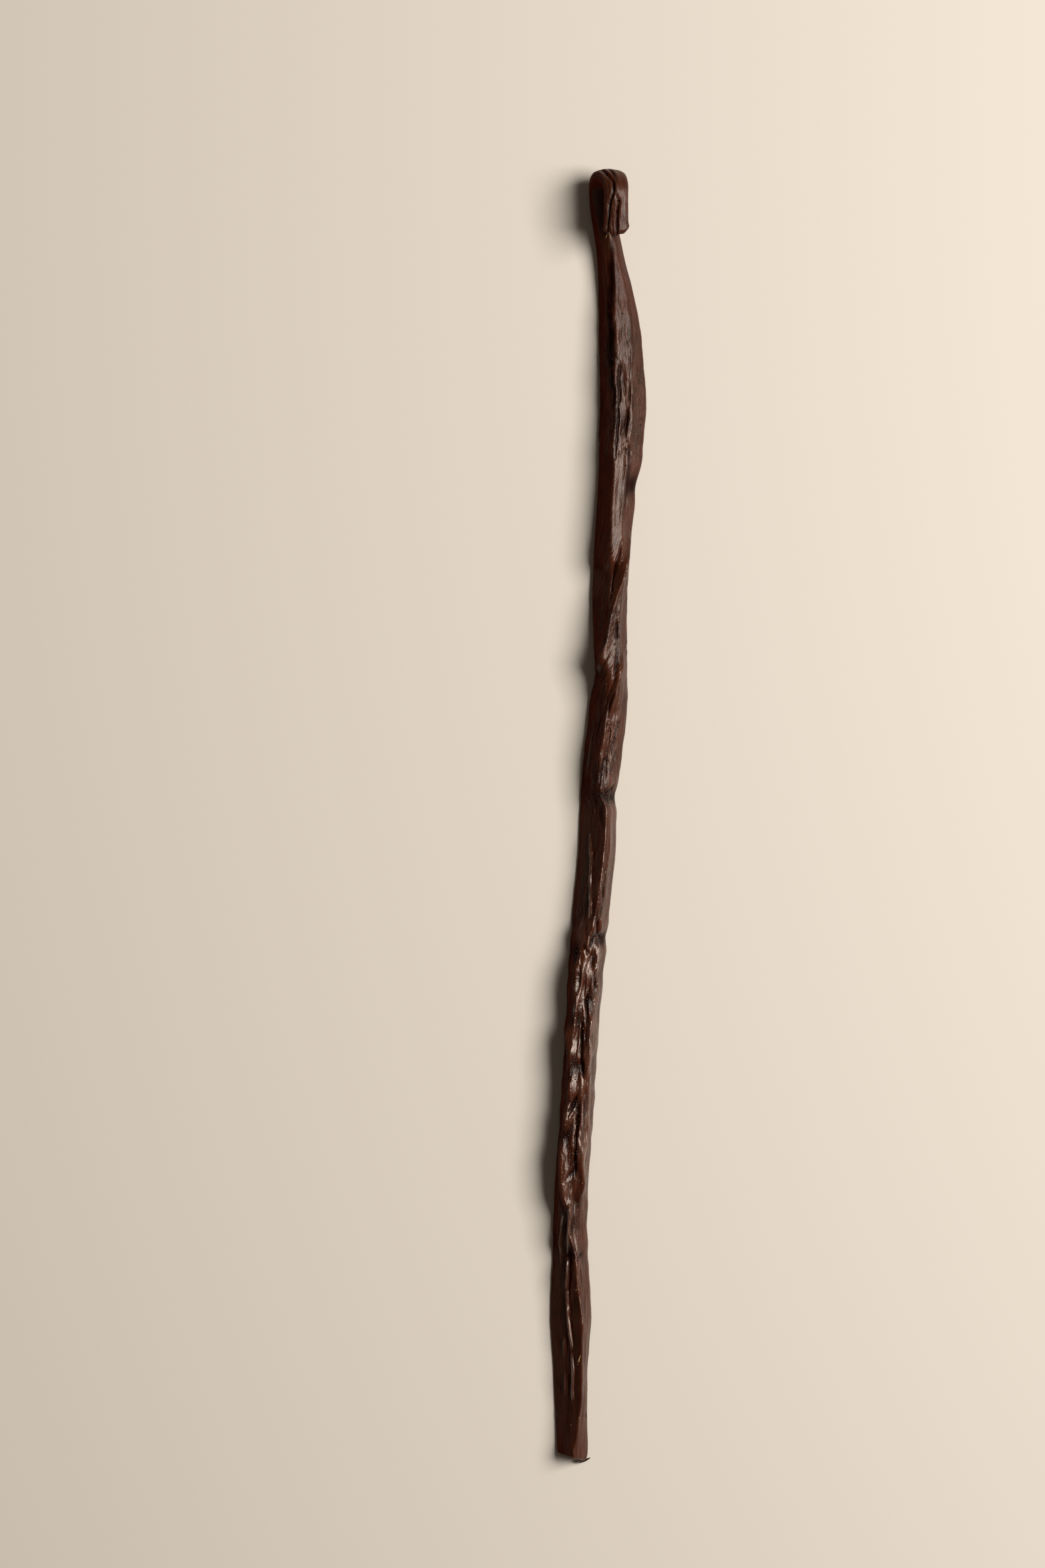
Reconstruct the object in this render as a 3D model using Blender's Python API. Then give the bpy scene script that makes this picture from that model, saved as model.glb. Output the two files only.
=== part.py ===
"""Cured vanilla pod, lying on its belly with the hooked stalk end towards +Y.

The pod is one solid, made of rings joined one to the next. The rings start at the cut end of
the stalk, go round the fold that lays the stalk back over its own neck, and run down a
slightly S-shaped, three-sided, wrung and wrinkled body to a slanting blossom tip.

Frame: +Y runs up the pod towards the stalk, +X is across and +Z is up. The origin is at the
middle of the footprint, on the surface that the pod lies on. Blender units are metres.
"""

import bmesh
import bpy
import numpy as np

MM = 0.001

# Driving dimensions
POD_LENGTH = 170.0 * MM  # from the top of the fold to the blossom tip
POD_WIDTH = 6.1 * MM  # across the widest part of the body
POD_THICKNESS = 4.5 * MM  # height of the body where it is thickest

# Lofting stations from the blossom tip up to the neck. Each row gives the height up the pod
# as a share of POD_LENGTH, the sideways place and the width as shares of POD_WIDTH, and the
# thickness as a share of POD_THICKNESS.
STATIONS = np.array(
    (
        (0.000, -0.535, 0.66, 0.72),
        (0.070, -0.580, 0.73, 0.84),
        (0.115, -0.570, 0.87, 0.91),
        (0.177, -0.585, 0.74, 0.90),
        (0.300, -0.400, 0.72, 0.90),
        (0.409, -0.185, 0.78, 0.94),
        (0.485, 0.005, 0.80, 0.96),
        (0.515, 0.020, 0.76, 0.95),
        (0.543, 0.100, 0.83, 0.96),
        (0.587, 0.235, 0.82, 0.97),
        (0.613, 0.290, 0.71, 1.00),
        (0.662, 0.265, 0.74, 0.98),
        (0.703, 0.310, 0.78, 0.94),
        (0.750, 0.410, 0.82, 0.94),
        (0.781, 0.500, 0.94, 0.96),
        (0.822, 0.545, 1.00, 0.94),
        (0.868, 0.500, 0.93, 0.86),
        (0.910, 0.385, 0.73, 0.74),
        (0.941, 0.250, 0.56, 0.69),
        (0.980, 0.095, 0.54, 0.68),
    )
)

# The body has been wrung round: height up the pod and how far the section has turned there
WRUNG_DEG = np.array(
    (
        (0.000, 204.0),
        (0.070, 192.0),
        (0.150, 207.0),
        (0.440, 214.0),
        (0.506, 206.0),
        (0.520, 233.0),
        (0.574, 235.0),
        (0.608, 158.0),
        (0.630, 120.0),
        (0.674, 76.0),
        (0.704, 22.0),
        (0.745, 0.0),
        (1.000, 0.0),
    )
)

# Three-sided section: outward directions of its faces, measured from +X towards +Z, before
# the body is wrung
FACES_DEG = (50.0, 165.0, 275.0)
EDGE_SHARPNESS = 4.2  # higher gives a sharper edge between two faces
BODY_FACETING = 0.66  # 0 is an oval section and 1 is fully three-sided
STALK_FACETING = 0.25
STALK_BLEND = 0.07  # stretch below the fold that turns from stalk to body, per POD_LENGTH

# Hooked stalk
FOLD_RADIUS = 2.05 * MM  # centreline radius of the fold
STUB_LENGTH = 5.3 * MM  # from the fold to the cut end
STUB_DROOP = 0.70 * MM  # how far the cut end sinks back towards the neck
STUB_SIDE = 0.385  # sideways place of the stub, as a share of POD_WIDTH
LEAN_START, LEAN_STRETCH = 0.45, 0.50  # where, along the stalk, it leans back over the neck
STUB_WIDTH = 0.52  # share of POD_WIDTH
STUB_THICKNESS = 0.66  # share of POD_THICKNESS
FOLD_FLATTENING = 0.12  # share by which the stalk is squashed wider on its way round the fold
RIM_LENGTH = 1.0 * MM  # thickened rim round the cut end
RIM_FLARE = 0.12  # share by which the rim stands out
CUT_DEPTH = 0.35 * MM  # how far the middle of the cut has sunk below its rim
CUT_SHOULDER = 0.14 * MM  # how far its shoulder has sunk, just inside the rim
CUT_SIZE = 0.78  # size of the shoulder to the rim, and of the middle to the shoulder

# Lengthwise folds of the shrunken skin
FOLD_COUNT = 9
FOLD_HEIGHT = 0.19 * MM
FOLD_SPREAD_DEG = 10.0
FOLD_UNEVENNESS = 0.35  # how far a fold is out of its even place, per place
FOLD_WANDER_DEG = 9.0  # how far it wanders round the pod, and how often along the pod
FOLD_WANDERS = 1.7
FOLD_FADE = 0.45  # share by which it swells and fades, and how often along the pod
FOLD_SWELLS = 2.3
STALK_FOLDS = 0.55  # share of the folds' height that is left on the stalk
GOLDEN_TURN = 0.618  # spreads the folds' places and lengths so that no two are alike

# Knuckles, where the pod was bent: height up the pod, direction they face in degrees, depth,
# and reach along the pod
KNUCKLES = (
    (0.757, 10.0, 0.40 * MM, 1.5 * MM),
    (0.611, 178.0, 0.34 * MM, 1.6 * MM),
    (0.516, 30.0, 0.46 * MM, 1.0 * MM),
    (0.406, 24.0, 0.40 * MM, 0.9 * MM),
    (0.397, 145.0, 0.34 * MM, 1.1 * MM),
    (0.164, 60.0, 0.26 * MM, 0.9 * MM),
)
KNUCKLE_SPREAD_DEG = 50.0
BUNCHED_SKIN = 0.45  # skin pushed up beside a knuckle, as a share of its depth
BUNCHED_AT = 2.0  # where it is pushed up, in reaches from the knuckle's middle

# Belly: it touches the surface at a few heights up the pod and arches clear between them
BELLY_RESTS = (0.115, 0.485, 0.840)
BELLY_ARCH = 0.50 * MM
BELLY_PRESS = 0.30 * MM  # how far it has settled flat where it touches
REST_REACH = 0.045  # half length of each resting place, as a share of POD_LENGTH
ARCH_RISE = 0.11  # stretch over which the arch rises, as a share of POD_LENGTH

# Blossom tip, rounded off along a slant
TIP_ROUNDING = 2.0 * MM
TIP_SLANT = 0.40  # how much sooner the -X side ends, per unit of width
TIP_FULLNESS = 3.6  # 2 rounds the end like an ellipse, and more makes it blunter

# Mesh fineness
RING_POINTS = 36
STALK_STEP = 0.62 * MM
BODY_STEP = 2.3 * MM
KNUCKLE_STEP = 0.8 * MM  # within KNUCKLE_NEAR of a knuckle, easing out to KNUCKLE_FAR
KNUCKLE_NEAR = 2.0 * MM
KNUCKLE_FAR = 6.0 * MM
WRUNG_STEP = 1.15 * MM
WRUNG_STRETCH = (0.57, 0.72)
TIP_RINGS = 6
SPACING_SAMPLES = 4000  # samples of the wanted step from which the rings' heights are read

SKIN_COLOUR = (0.050, 0.021, 0.013, 1.0)
SKIN_ROUGHNESS = 0.42

SECTION_ANGLES = np.linspace(0, 2 * np.pi, RING_POINTS, endpoint=False)


def ease(t):
    """0 below 0, 1 above 1, and a smooth rise between them."""
    t = np.clip(t, 0, 1)
    return t * t * (3 - 2 * t)


def curve(places, values, at):
    """Smooth curve through the given values that never swings past any of them."""
    gaps = np.diff(places)
    rises = np.diff(values) / gaps
    before, after = rises[:-1], rises[1:]
    same_way = before * after > 0
    slopes = np.zeros_like(values)
    slopes[1:-1][same_way] = (2 * before * after)[same_way] / (before + after)[same_way]
    at = np.clip(at, places[0], places[-1])
    k = np.clip(np.searchsorted(places, at) - 1, 0, len(gaps) - 1)
    t = (at - places[k]) / gaps[k]
    from_start = values[k] + slopes[k] * gaps[k] * t * (1 - t) ** 2
    to_end = slopes[k + 1] * gaps[k] * t * t * (t - 1)
    return from_start + to_end + (values[k + 1] - values[k]) * ease(t)


def station(height, column):
    return curve(STATIONS[:, 0], STATIONS[:, column], height)


def sideways(height):
    return station(height, 1) * POD_WIDTH


def width(height):
    return station(height, 2) * POD_WIDTH


def thickness(height):
    return station(height, 3) * POD_THICKNESS


def wrung(height):
    return np.radians(curve(WRUNG_DEG[:, 0], WRUNG_DEG[:, 1], height))


def turned_off(angles, direction):
    """Signed angle between each ring angle and a direction."""
    return np.arctan2(np.sin(angles - direction), np.cos(angles - direction))


def belly_arch(height):
    """Clearance under the belly: none at each resting place, and an arch between two."""
    nearest = np.min([np.abs(height - rest) for rest in BELLY_RESTS], axis=0)
    return BELLY_ARCH * ease((nearest - REST_REACH) / ARCH_RISE)


def faceted_radius(angles, faceting):
    """Radius of a unit section: a circle blended towards three rounded, flat faces."""
    reach = 0
    for face in FACES_DEG:
        facing = np.clip(np.cos(angles - np.radians(face)), 0, None)
        reach = reach + facing**EDGE_SHARPNESS
    return (1 - faceting) + faceting * reach ** (-1 / EDGE_SHARPNESS)


def skin_folds(angles, height):
    """Lengthwise folds, each of which wanders, swells and fades on its way down the pod."""
    relief = 0
    for k in range(FOLD_COUNT):
        place = 2 * np.pi * (k + FOLD_UNEVENNESS * np.sin(FOLD_COUNT * k * k)) / FOLD_COUNT
        waver = np.sin(2 * np.pi * (FOLD_WANDERS * height + GOLDEN_TURN * k))
        swell = np.sin(2 * np.pi * (FOLD_SWELLS * height + GOLDEN_TURN * k * k))
        off = turned_off(angles, place + np.radians(FOLD_WANDER_DEG) * waver)
        ridge = np.exp(-((off / np.radians(FOLD_SPREAD_DEG)) ** 2))
        relief = relief + (1 - FOLD_FADE + FOLD_FADE * swell) * ridge
    return FOLD_HEIGHT * relief


def knuckle_dents(angles, height):
    """Cross creases: a dent that fades round the pod, with skin bunched up on both sides."""
    relief = 0
    for place, direction, depth, reach in KNUCKLES:
        along = (height - place) * POD_LENGTH / reach
        bunched = np.exp(-((np.abs(along) - BUNCHED_AT) ** 2))
        dent = np.exp(-(along**2)) - BUNCHED_SKIN * bunched
        off = turned_off(angles, np.radians(direction)) / np.radians(KNUCKLE_SPREAD_DEG)
        relief = relief + depth * dent * np.exp(-(off**2))
    return relief


def outline(turn, faceting, wide, thick, relief):
    """Across and up coordinates of one section per row, centred on its own middle."""
    radius = faceted_radius(SECTION_ANGLES, faceting)
    angles = SECTION_ANGLES + turn
    across = radius * np.cos(angles)
    up = radius * np.sin(angles)
    across = (across - middle(across)) * wide / np.ptp(across, axis=1, keepdims=True)
    up = (up - middle(up)) * thick / np.ptp(up, axis=1, keepdims=True)
    return across + relief * np.cos(angles), up + relief * np.sin(angles)


def middle(rows):
    return (rows.max(axis=1, keepdims=True) + rows.min(axis=1, keepdims=True)) / 2


def fold_middle():
    """Height up the pod at which the fold's centre stands."""
    outer_radius = FOLD_RADIUS + thickness(1.0) * (1 - FOLD_FLATTENING) / 2
    return (POD_LENGTH - outer_radius) / POD_LENGTH


def body_heights():
    """Heights of the body's rings, closer together at the knuckles and where it is wrung."""
    heights = np.linspace(fold_middle(), TIP_ROUNDING / POD_LENGTH, SPACING_SAMPLES)
    from_knuckle = np.min([np.abs(heights - row[0]) for row in KNUCKLES], axis=0) * POD_LENGTH
    ease_out = ease((from_knuckle - KNUCKLE_NEAR) / (KNUCKLE_FAR - KNUCKLE_NEAR))
    step = KNUCKLE_STEP + (BODY_STEP - KNUCKLE_STEP) * ease_out
    in_wrung = (heights > WRUNG_STRETCH[0]) & (heights < WRUNG_STRETCH[1])
    step = np.where(in_wrung, np.minimum(step, WRUNG_STEP), step)
    rings_passed = np.cumsum((heights[0] - heights[1]) * POD_LENGTH / step)
    count = int(round(rings_passed[-1]))
    return np.interp(np.linspace(0, rings_passed[-1], count), rings_passed, heights)


def tip_heights():
    start = TIP_ROUNDING / POD_LENGTH
    turn = np.arange(1, TIP_RINGS + 1) / (TIP_RINGS + 0.5)
    return start * (1 - np.sin(0.5 * np.pi * turn))


def body_grid():
    """Points of the body, one row per ring, from the fold down to the tip."""
    height = np.concatenate((body_heights(), tip_heights()))[:, None]
    turn = wrung(height)
    from_stalk = ease((fold_middle() - height) / STALK_BLEND)
    faceting = STALK_FACETING + (BODY_FACETING - STALK_FACETING) * from_stalk
    relief = skin_folds(SECTION_ANGLES, height)
    relief = relief * (STALK_FOLDS + (1 - STALK_FOLDS) * from_stalk)
    relief = relief - relief.mean(axis=1, keepdims=True)
    relief = relief - knuckle_dents(SECTION_ANGLES + turn, height)
    across, up = outline(turn, faceting, width(height), thickness(height), relief)
    lift = belly_arch(height) - BELLY_PRESS - up.min(axis=1, keepdims=True)

    into_tip = np.clip(1 - height * POD_LENGTH / TIP_ROUNDING, 0, 1)
    size = (1 - into_tip**TIP_FULLNESS) ** (1 / TIP_FULLNESS)
    sooner = across.max(axis=1, keepdims=True) - across
    x = sideways(height) + across * size
    y = height * POD_LENGTH + TIP_SLANT * into_tip * sooner * size
    z = np.maximum(lift + up * size, 0)
    return np.stack((x, y, z), axis=2)


def stalk_grid(neck_height):
    """Points of the stalk, one row per ring, from the cut end to where the fold ends."""
    arc = np.pi * FOLD_RADIUS
    length = STUB_LENGTH + arc
    count = int(length / STALK_STEP)
    along = np.linspace(0, length, count, endpoint=False)[:, None]
    to_fold = np.clip(STUB_LENGTH - along, 0, None)
    turn = np.clip(along - STUB_LENGTH, 0, None) / FOLD_RADIUS

    droop = STUB_DROOP * (to_fold / STUB_LENGTH) ** 2
    y = fold_middle() * POD_LENGTH - to_fold + FOLD_RADIUS * np.sin(turn)
    z = neck_height + FOLD_RADIUS * (1 + np.cos(turn)) - droop
    pitch = turn - 2 * STUB_DROOP * to_fold / STUB_LENGTH**2

    share = along / length
    rim = 1 + RIM_FLARE * np.exp(-((along / RIM_LENGTH) ** 2))
    squash = FOLD_FLATTENING * np.sin(turn)
    neck = fold_middle()
    wide = STUB_WIDTH * POD_WIDTH * (1 - share) + width(neck) * share
    thick = STUB_THICKNESS * POD_THICKNESS * (1 - share) + thickness(neck) * share
    relief = STALK_FOLDS * skin_folds(SECTION_ANGLES, neck + (length - along) / POD_LENGTH)
    relief = relief - relief.mean(axis=1, keepdims=True)
    # Seen along the stalk, the body's upper side becomes the inside of the fold.
    not_wrung = np.zeros_like(along)
    wide = wide * rim * (1 + squash)
    thick = thick * rim * (1 - squash)
    across, up = outline(not_wrung, STALK_FACETING, wide, thick, relief)
    lean = ease((share - LEAN_START) / LEAN_STRETCH)
    side = STUB_SIDE * POD_WIDTH * (1 - lean) + sideways(neck) * lean
    return np.stack((side + across, y - up * np.sin(pitch), z - up * np.cos(pitch)), axis=2)


def cut_rings(rim):
    """Rings of the sunken cut, from its bottom out to the rim."""
    centre = rim.mean(axis=0)
    inwards = np.array((0.0, 1.0, 0.0))
    floor = centre + (rim - centre) * CUT_SIZE * CUT_SIZE + inwards * CUT_DEPTH
    shoulder = centre + (rim - centre) * CUT_SIZE + inwards * CUT_SHOULDER
    return np.stack((floor, shoulder))


def bridge(bm, first, second):
    """Faces between two rings that hold the same number of points."""
    for k in range(RING_POINTS):
        n = (k + 1) % RING_POINTS
        bm.faces.new((first[k], first[n], second[n], second[k]))


def close_end(bm, ring):
    """A fan of faces from the ring to a point in its middle."""
    total = ring[0].co.copy()
    for vert in ring[1:]:
        total += vert.co
    peak = bm.verts.new(total / len(ring))
    for k in range(RING_POINTS):
        bm.faces.new((ring[k], ring[(k + 1) % RING_POINTS], peak))


def footprint_centred(points):
    """The points moved so that the middle of their footprint is the origin."""
    low = points.min(axis=(0, 1))
    high = points.max(axis=(0, 1))
    return points - np.array(((low[0] + high[0]) / 2, (low[1] + high[1]) / 2, low[2]))


def skin_material():
    material = bpy.data.materials.new("cured_skin")
    material.use_nodes = True
    shader = material.node_tree.nodes["Principled BSDF"]
    shader.inputs["Base Color"].default_value = SKIN_COLOUR
    shader.inputs["Roughness"].default_value = SKIN_ROUGHNESS
    shader.inputs["Metallic"].default_value = 0.0
    material.diffuse_color = SKIN_COLOUR
    return material


def pod_points():
    """All rings of the pod in order, from the floor of the cut to the blossom tip."""
    body = body_grid()
    neck = body[0, :, 2]
    stalk = stalk_grid((neck.max() + neck.min()) / 2)
    return footprint_centred(np.concatenate((cut_rings(stalk[0]), stalk, body)))


def build_pod():
    bm = bmesh.new()
    rings = [[bm.verts.new(point) for point in row] for row in pod_points()]
    for first, second in zip(rings, rings[1:]):
        bridge(bm, first, second)
    close_end(bm, rings[0])
    close_end(bm, rings[-1])
    bmesh.ops.recalc_face_normals(bm, faces=bm.faces)
    mesh = bpy.data.meshes.new("pod")
    bm.to_mesh(mesh)
    bm.free()
    mesh.materials.append(skin_material())
    mesh.shade_smooth()
    pod = bpy.data.objects.new("pod", mesh)
    bpy.context.scene.collection.objects.link(pod)


def clear_scene():
    for obj in list(bpy.data.objects):
        bpy.data.objects.remove(obj)


clear_scene()
build_pod()
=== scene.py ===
import bpy
import numpy as np
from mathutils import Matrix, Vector


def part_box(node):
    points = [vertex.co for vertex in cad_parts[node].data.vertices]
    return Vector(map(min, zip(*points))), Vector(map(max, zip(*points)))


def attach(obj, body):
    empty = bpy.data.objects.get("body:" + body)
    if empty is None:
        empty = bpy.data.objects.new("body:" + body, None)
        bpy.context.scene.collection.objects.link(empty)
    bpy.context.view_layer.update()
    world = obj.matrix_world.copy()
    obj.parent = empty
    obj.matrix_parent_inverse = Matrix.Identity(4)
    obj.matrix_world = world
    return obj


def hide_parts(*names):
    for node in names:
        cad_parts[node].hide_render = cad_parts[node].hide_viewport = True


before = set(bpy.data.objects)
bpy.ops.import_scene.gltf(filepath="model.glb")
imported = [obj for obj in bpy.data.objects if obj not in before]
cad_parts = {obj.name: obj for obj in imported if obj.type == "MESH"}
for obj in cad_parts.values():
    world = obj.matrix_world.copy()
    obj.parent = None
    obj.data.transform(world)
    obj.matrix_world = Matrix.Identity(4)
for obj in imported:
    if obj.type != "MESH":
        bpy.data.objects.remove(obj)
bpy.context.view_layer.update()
mm = 0.001

podLow, podHigh = (np.array(corner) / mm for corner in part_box("pod"))
podLength = podHigh[1] - podLow[1]  # millimetres, as every size below


# shared shape helpers

def ease(t):
    # three times t squared less twice t cubed; 0 below 0 and 1 above 1
    t = np.clip(t, 0, 1)
    return t * t * (3 - 2 * t)


def flow(places, values, at):
    # a cubic between each two places that never swings past a value: its slope at a place is the
    # harmonic mean of the slopes on both sides, and 0 at a peak, a dip or an end
    places, values = np.asarray(places, float), np.asarray(values, float)
    gaps = np.diff(places)
    rises = np.diff(values) / gaps
    before, after = rises[:-1], rises[1:]
    sameWay = before * after > 0
    slopes = np.zeros_like(values)
    slopes[1:-1][sameWay] = (2 * before * after)[sameWay] / (before + after)[sameWay]
    at = np.clip(at, places[0], places[-1])
    k = np.clip(np.searchsorted(places, at) - 1, 0, len(gaps) - 1)
    t = (at - places[k]) / gaps[k]
    bend = slopes[k] * t * (1 - t) ** 2 + slopes[k + 1] * t * t * (t - 1)
    return values[k] + bend * gaps[k] + (values[k + 1] - values[k]) * ease(t)


def offAngle(angles, direction):
    # signed angle from a direction, between -pi and pi: the arctangent of the sine and cosine of
    # the difference
    return np.arctan2(np.sin(angles - direction), np.cos(angles - direction))


def skinNoise(along, around, cellsRound, cellLength, seed):
    # gradient noise, about -1 to 1, on cells that close round the pod and run along it:
    # each corner of a cell gives a slope, and the four slopes are blended by an eased weight
    rng = np.random.default_rng(seed)
    v = (along - along.min()) / cellLength
    u = around / (2 * np.pi) * cellsRound
    row, col = np.floor(v).astype(int), np.floor(u).astype(int)
    v, u = v - row, u - col
    tilt = rng.uniform(0, 2 * np.pi, (row.max() + 2, cellsRound))

    def corner(dr, dc):
        # the corner's slope times the way from the corner
        t = tilt[row + dr, (col + dc) % cellsRound]
        return np.cos(t) * (v - dr) + np.sin(t) * (u - dc)

    sv, su = ease(v), ease(u)
    near = corner(0, 0) * (1 - su) + corner(0, 1) * su
    far = corner(1, 0) * (1 - su) + corner(1, 1) * su
    return 1.5 * (near * (1 - sv) + far * sv)  # 1.5 brings the peaks to about 1


def gridFaces(rows, cols):
    # quads between neighbouring rings; each ring closes on itself
    r, c = np.meshgrid(np.arange(rows - 1), np.arange(cols), indexing="ij")
    n = (c + 1) % cols
    quads = np.stack((r * cols + c, r * cols + n, (r + 1) * cols + n, (r + 1) * cols + c), -1)
    return quads.reshape(-1, 4)


def tubeFaces(rows, cols):
    # quads between the rings, and a fan of triangles from a middle point to each end ring; the two
    # middle points come after the rings' points
    k = np.arange(cols)
    n = (k + 1) % cols
    first, last = rows * cols + 0 * k, (rows - 1) * cols
    fans = np.concatenate((np.stack((first, n, k), -1), np.stack((first + 1, last + k, last + n), -1)))
    return gridFaces(rows, cols), fans


def repeated(faces, count, pointsEach):
    # the same faces for several copies: each copy's points follow those of the one before
    return (faces + pointsEach * np.arange(count)[:, None, None]).reshape(-1, faces.shape[1])


def makeMesh(name, points, faceGroups, material):
    # points in millimetres become a smooth mesh in metres, on an object at the origin
    mesh = bpy.data.meshes.new(name)
    faces = [face for group in faceGroups for face in group.tolist()]
    mesh.from_pydata((np.asarray(points) * mm).tolist(), [], faces)
    mesh.validate()
    mesh.materials.append(material)
    mesh.shade_smooth()
    piece = bpy.data.objects.new(name, mesh)
    bpy.context.scene.collection.objects.link(piece)
    return piece


# pod shape: the CAD pod's stations, fold and rests, with its own edges, wringing, knuckles and tip
# and the wrinkled skin worked into it; sizes in millimetres

podShape = {
    "width": 6.1,
    "thickness": 4.5,
    # height up the pod as a share of its length, sideways, width, thickness
    "stations": (
        (0.000, -0.535, 0.66, 0.72),
        (0.070, -0.580, 0.73, 0.84),
        (0.115, -0.570, 0.87, 0.91),
        (0.177, -0.585, 0.74, 0.90),
        (0.300, -0.400, 0.72, 0.90),
        (0.409, -0.185, 0.78, 0.94),
        (0.485, 0.005, 0.80, 0.96),
        (0.515, 0.020, 0.76, 0.95),
        (0.543, 0.100, 0.83, 0.96),
        (0.587, 0.235, 0.82, 0.97),
        (0.613, 0.290, 0.71, 1.00),
        (0.662, 0.265, 0.74, 0.98),
        (0.703, 0.310, 0.78, 0.94),
        (0.750, 0.410, 0.82, 0.94),
        (0.781, 0.500, 0.94, 0.96),
        (0.822, 0.545, 1.00, 0.94),
        (0.868, 0.500, 0.93, 0.86),
        (0.910, 0.385, 0.73, 0.74),
        (0.941, 0.250, 0.56, 0.69),
        (0.980, 0.095, 0.54, 0.68),
    ),
    # height up the pod and how far the skin has been wrung round there, in degrees
    "wrung": (
        (0.000, 204), (0.070, 192), (0.150, 207), (0.440, 214), (0.506, 206), (0.520, 226),
        (0.584, 225), (0.601, 215), (0.611, 190), (0.6205, 156), (0.638, 120), (0.657, 104),
        (0.676, 80), (0.696, 50), (0.704, 30), (0.745, 0), (1.0, 0),
    ),
    "edgeReach": 19,  # degrees over which an edge rises from the face beside it
    "edgeRounding": 8,
    "edgeInset": 0.93,  # how far out an edge at place 1 stands on a round ring
    "stalkEdges": 0.35,  # how much of the edges is left in the stalk
    "stalkBlend": 0.07,  # stretch below the fold over which the rest of them fades in
    "foldRadius": 2.05,
    "foldFlattening": 0.12,
    "stubLength": 5.3,
    "stubDroop": 0.7,
    "stubSide": 0.385,
    "stubWidth": 0.52,
    "stubThickness": 0.66,
    "leanStart": 0.45,  # where, along the stalk, it leans back over the neck
    "leanStretch": 0.50,
    "rimLength": 1.0,
    "rimFlare": 0.12,
    "cutRounding": 0.35,
    "cutInset": 0.16,
    "cutSink": 0.35,
    # the cut end is ragged: shorter at the right, a little at the left, and wavy
    "ragged": {"right": 1.2, "left": 0.45, "wave": 0.16, "waves": 5, "reach": 2.6},
    "bellyRests": (0.115, 0.485, 0.840),
    "bellyArch": 0.50,
    "bellyPress": 0.30,
    "restReach": 0.045,  # half the stretch that lies flat, and the stretch over which it lifts
    "archReach": 0.11,
    "tipRounding": 2.5,
    "tipSlant": 0.54,
    "tipFullness": 3.6,
    "tipRows": 16,
    # knuckles: height, direction they face, depth, reach along the pod
    "knuckles": (
        (0.757, 10, 0.30, 1.5), (0.611, 178, 0.10, 1.6), (0.516, 20, 0.34, 1.0),
        (0.406, 14, 0.30, 0.9), (0.397, 145, 0.28, 1.1), (0.164, 60, 0.16, 0.9),
    ),
    "knuckleSpread": 50,  # degrees to either side of its direction
    "knuckleSwelling": 0.45,  # share of its depth by which the skin swells beside it
    "rows": 520,
    "columns": 184,
}

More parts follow.
